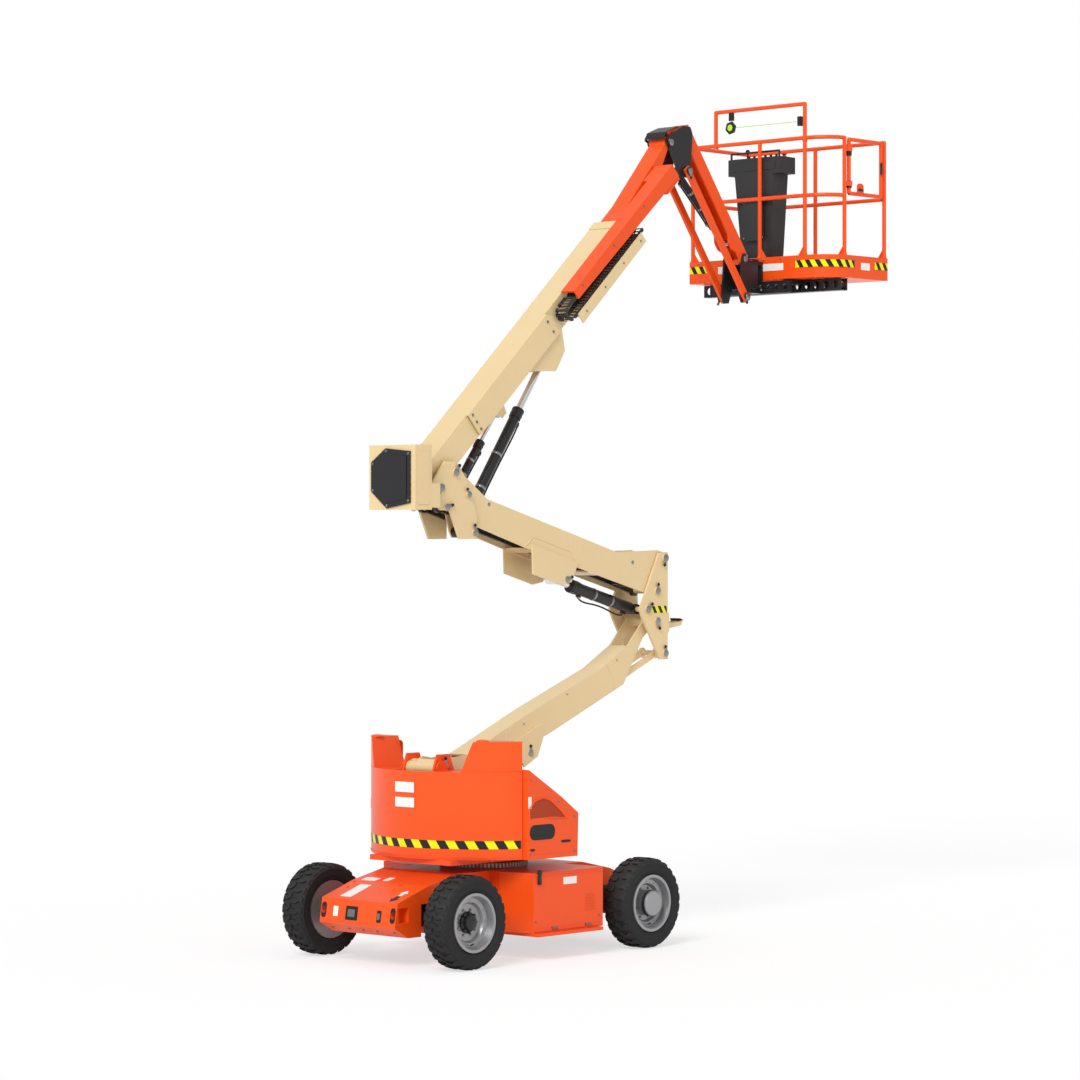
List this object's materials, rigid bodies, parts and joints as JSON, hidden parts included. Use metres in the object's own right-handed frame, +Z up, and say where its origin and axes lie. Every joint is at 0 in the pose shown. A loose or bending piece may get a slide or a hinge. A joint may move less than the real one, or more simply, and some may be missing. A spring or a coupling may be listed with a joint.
{
  "type": "articulating boom lift",
  "caption": "Self-propelled electric aerial work platform with a folding tower, telescoping boom, jib and railed platform on a slewing turntable.",
  "frame": {"origin": "on the floor under the middle of the machine's length and width", "axes": "+Z up, +X towards the work platform as stored, -Y the side shown by the picture"},
  "size_m": [5.566, 1.756, 6.8596],
  "materials": {
    "orange_paint": "gloss",
    "cream_paint": "gloss",
    "black_paint": "satin",
    "tyre_rubber": "matt",
    "rim_silver": "satin",
    "rod_chrome": "polished",
    "chain_plastic": "matt",
    "console_plastic": "matt"
  },
  "bodies": {
    "chassis": {"chassis_frame": "orange_paint", "battery_boxes": "orange_paint", "steer_axle": "black_paint", "drive_axle": "black_paint"},
    "turntable": {"turntable_frame": "orange_paint", "counterweight_hood": "orange_paint", "side_covers": "orange_paint"},
    "knuckle_near": {"knuckle_near": "black_paint"},
    "knuckle_far": {"knuckle_far": "black_paint"},
    "wheel_steer_near": {"tyre_steer_near": "tyre_rubber", "rim_steer_near": "rim_silver"},
    "wheel_steer_far": {"tyre_steer_far": "tyre_rubber", "rim_steer_far": "rim_silver"},
    "wheel_drive_near": {"tyre_drive_near": "tyre_rubber", "rim_drive_near": "rim_silver"},
    "wheel_drive_far": {"tyre_drive_far": "tyre_rubber", "rim_drive_far": "rim_silver"},
    "lower_beam": {"lower_beam": "cream_paint"},
    "lower_link": {"lower_link": "cream_paint"},
    "mid_upright": {"mid_upright": "cream_paint"},
    "upper_beam": {"upper_beam": "cream_paint"},
    "upper_link": {"upper_link": "black_paint"},
    "boom_head": {"boom_head": "cream_paint"},
    "lower_barrel": {"lower_barrel": "black_paint"},
    "lower_rod": {"lower_rod": "rod_chrome"},
    "upper_barrel": {"upper_barrel": "black_paint"},
    "upper_rod": {"upper_rod": "rod_chrome"},
    "lift_barrel": {"lift_barrel": "black_paint"},
    "lift_rod": {"lift_rod": "rod_chrome"},
    "level_barrel": {"level_barrel": "black_paint"},
    "level_rod": {"level_rod": "rod_chrome"},
    "jib_barrel": {"jib_barrel": "black_paint"},
    "jib_rod": {"jib_rod": "rod_chrome"},
    "main_boom": {"main_boom": "cream_paint", "cable_chain": "chain_plastic"},
    "fly_boom": {"fly_boom": "orange_paint"},
    "jib_knuckle": {"jib_knuckle": "black_paint"},
    "jib_beam": {"jib_beam": "orange_paint"},
    "jib_links": {"jib_links": "orange_paint"},
    "platform_bracket": {"platform_bracket": "black_paint"},
    "platform": {"platform_support": "black_paint", "platform_floor": "orange_paint", "platform_rails": "orange_paint", "console": "console_plastic"},
    "gate": {"gate": "orange_paint"}
  },
  "joints": [
    {"name": "slew", "type": "hinge", "parent": "chassis", "child": "turntable", "pos_m": [-1.397, 0, 0.7], "axis": [0, 0, 1], "range_deg": [-177.5, 177.5]},
    {"name": "steer_near", "type": "hinge", "parent": "chassis", "child": "knuckle_near", "pos_m": [-2.402, -0.56, 0.354], "axis": [0, 0, 1], "range_deg": [-35, 35]},
    {"name": "steer_far", "type": "hinge", "parent": "chassis", "child": "knuckle_far", "pos_m": [-2.402, 0.56, 0.354], "axis": [0, 0, 1], "range_deg": [-35, 35]},
    {"name": "wheel_steer_near", "type": "hinge", "parent": "knuckle_near", "child": "wheel_steer_near", "pos_m": [-2.402, -0.755, 0.354], "axis": [0, 1, 0], "continuous": true},
    {"name": "wheel_steer_far", "type": "hinge", "parent": "knuckle_far", "child": "wheel_steer_far", "pos_m": [-2.402, 0.755, 0.354], "axis": [0, 1, 0], "continuous": true},
    {"name": "wheel_drive_near", "type": "hinge", "parent": "chassis", "child": "wheel_drive_near", "pos_m": [-0.392, -0.755, 0.354], "axis": [0, 1, 0], "continuous": true},
    {"name": "wheel_drive_far", "type": "hinge", "parent": "chassis", "child": "wheel_drive_far", "pos_m": [-0.392, 0.755, 0.354], "axis": [0, 1, 0], "continuous": true},
    {"name": "tower_lower", "type": "hinge", "parent": "turntable", "child": "lower_beam", "pos_m": [-2.017, 0, 1.47], "axis": [0, -1, 0], "range_deg": [-30.7, 46.8]},
    {"name": "lower_link_hinge", "type": "hinge", "parent": "turntable", "child": "lower_link", "pos_m": [-1.918, 0, 1.205], "axis": [0, -1, 0], "range_deg": [-30.7, 46.8]},
    {"name": "upright_level", "type": "hinge", "parent": "lower_beam", "child": "mid_upright", "pos_m": [0.468, 0, 2.534], "axis": [0, 1, 0], "range_deg": [-30.7, 46.8]},
    {"name": "tower_upper", "type": "hinge", "parent": "mid_upright", "child": "upper_beam", "pos_m": [0.567, 0, 3.045], "axis": [0, 1, 0], "range_deg": [-9.4, 52.9]},
    {"name": "upper_link_hinge", "type": "hinge", "parent": "mid_upright", "child": "upper_link", "pos_m": [0.468, 0, 2.776], "axis": [0, 1, 0], "range_deg": [-9.4, 52.9]},
    {"name": "head_level", "type": "hinge", "parent": "upper_beam", "child": "boom_head", "pos_m": [-1.894, 0, 3.708], "axis": [0, -1, 0], "range_deg": [-9.4, 52.9]},
    {"name": "lower_swing", "type": "hinge", "parent": "turntable", "child": "lower_barrel", "pos_m": [-2.097, 0, 0.83], "axis": [0, -1, 0], "range_deg": [-21.1, 31.9]},
    {"name": "lower_stroke", "type": "slide", "parent": "lower_barrel", "child": "lower_rod", "axis": [0.8497, 0, 0.5272], "range_m": [-0.238, 0.361]},
    {"name": "upper_swing", "type": "hinge", "parent": "mid_upright", "child": "upper_barrel", "pos_m": [0.35, 0, 2.63], "axis": [0, 1, 0], "range_deg": [-9.3, 50.2]},
    {"name": "upper_stroke", "type": "slide", "parent": "upper_barrel", "child": "upper_rod", "axis": [-0.9675, 0, 0.253], "range_m": [-0.079, 0.423]},
    {"name": "main_lift", "type": "hinge", "parent": "boom_head", "child": "main_boom", "pos_m": [-2.054, 0, 3.588], "axis": [0, -1, 0], "range_deg": [-42.2, 29.6]},
    {"name": "lift_swing", "type": "hinge", "parent": "boom_head", "child": "lift_barrel", "pos_m": [-1.682, 0, 3.25], "axis": [0, -1, 0], "range_deg": [-42.7, 30.1]},
    {"name": "lift_stroke", "type": "slide", "parent": "lift_barrel", "child": "lift_rod", "axis": [0.5777, 0, 0.8162], "range_m": [-0.36, 0.254]},
    {"name": "level_swing", "type": "hinge", "parent": "boom_head", "child": "level_barrel", "pos_m": [-1.751, 0, 3.54], "axis": [0, -1, 0], "range_deg": [-52, 36.6]},
    {"name": "level_stroke", "type": "slide", "parent": "level_barrel", "child": "level_rod", "axis": [0.6057, 0, 0.7957], "range_m": [-0.17, 0.12]},
    {"name": "telescope", "type": "slide", "parent": "main_boom", "child": "fly_boom", "axis": [0.7388, 0, 0.6739], "range_m": [-0.13, 1.9]},
    {"name": "knuckle_level", "type": "hinge", "parent": "fly_boom", "child": "jib_knuckle", "pos_m": [0.715, 0, 6.443], "axis": [0, 1, 0], "range_deg": [-42.2, 29.6]},
    {"name": "jib_lift", "type": "hinge", "parent": "jib_knuckle", "child": "jib_beam", "pos_m": [0.94, 0, 6.54], "axis": [0, -1, 0], "range_deg": [-6.9, 137.2]},
    {"name": "jib_link_hinge", "type": "hinge", "parent": "jib_knuckle", "child": "jib_links", "pos_m": [0.914, 0, 6.22], "axis": [0, -1, 0], "range_deg": [-6.9, 137.2]},
    {"name": "bracket_level", "type": "hinge", "parent": "jib_beam", "child": "platform_bracket", "pos_m": [1.68485, 0, 5.54614], "axis": [0, 1, 0], "range_deg": [-6.9, 137.2]},
    {"name": "jib_swing", "type": "hinge", "parent": "jib_knuckle", "child": "jib_barrel", "pos_m": [0.914, 0, 6.22], "axis": [0, -1, 0], "range_deg": [-6.8, 126.7]},
    {"name": "jib_stroke", "type": "slide", "parent": "jib_barrel", "child": "jib_rod", "axis": [0.748, 0, -0.6637], "range_m": [-0.038, 0.674]},
    {"name": "platform_rotate", "type": "hinge", "parent": "platform_bracket", "child": "platform", "pos_m": [1.818, 0, 5.4], "axis": [0, 0, 1], "range_deg": [-90, 90]},
    {"name": "gate", "type": "hinge", "parent": "platform", "child": "gate", "pos_m": [2.274, -0.739, 6], "axis": [0, 0, 1], "range_deg": [0, 80]}
  ],
  "couplings": [
    {"joint": "steer_far", "follows": "steer_near", "ratio": 1},
    {"joint": "lower_link_hinge", "follows": "tower_lower", "ratio": 1},
    {"joint": "upright_level", "follows": "tower_lower", "ratio": 1},
    {"joint": "upper_link_hinge", "follows": "tower_upper", "ratio": 1},
    {"joint": "head_level", "follows": "tower_upper", "ratio": 1},
    {"joint": "lower_swing", "follows": "tower_lower", "ratio": 0.67},
    {"joint": "lower_stroke", "follows": "tower_lower", "m_per_rad": 0.43728},
    {"joint": "upper_swing", "follows": "tower_upper", "ratio": 0.94},
    {"joint": "upper_stroke", "follows": "tower_upper", "m_per_rad": 0.45412},
    {"joint": "lift_swing", "follows": "main_lift", "ratio": 1},
    {"joint": "lift_stroke", "follows": "main_lift", "m_per_rad": 0.48347},
    {"joint": "level_swing", "follows": "main_lift", "ratio": 1.22},
    {"joint": "level_stroke", "follows": "main_lift", "m_per_rad": 0.225},
    {"joint": "knuckle_level", "follows": "main_lift", "ratio": 1},
    {"joint": "jib_link_hinge", "follows": "jib_lift", "ratio": 1},
    {"joint": "bracket_level", "follows": "jib_lift", "ratio": 1},
    {"joint": "jib_swing", "follows": "jib_lift", "ratio": 0.92},
    {"joint": "jib_stroke", "follows": "jib_lift", "m_per_rad": 0.28}
  ]
}
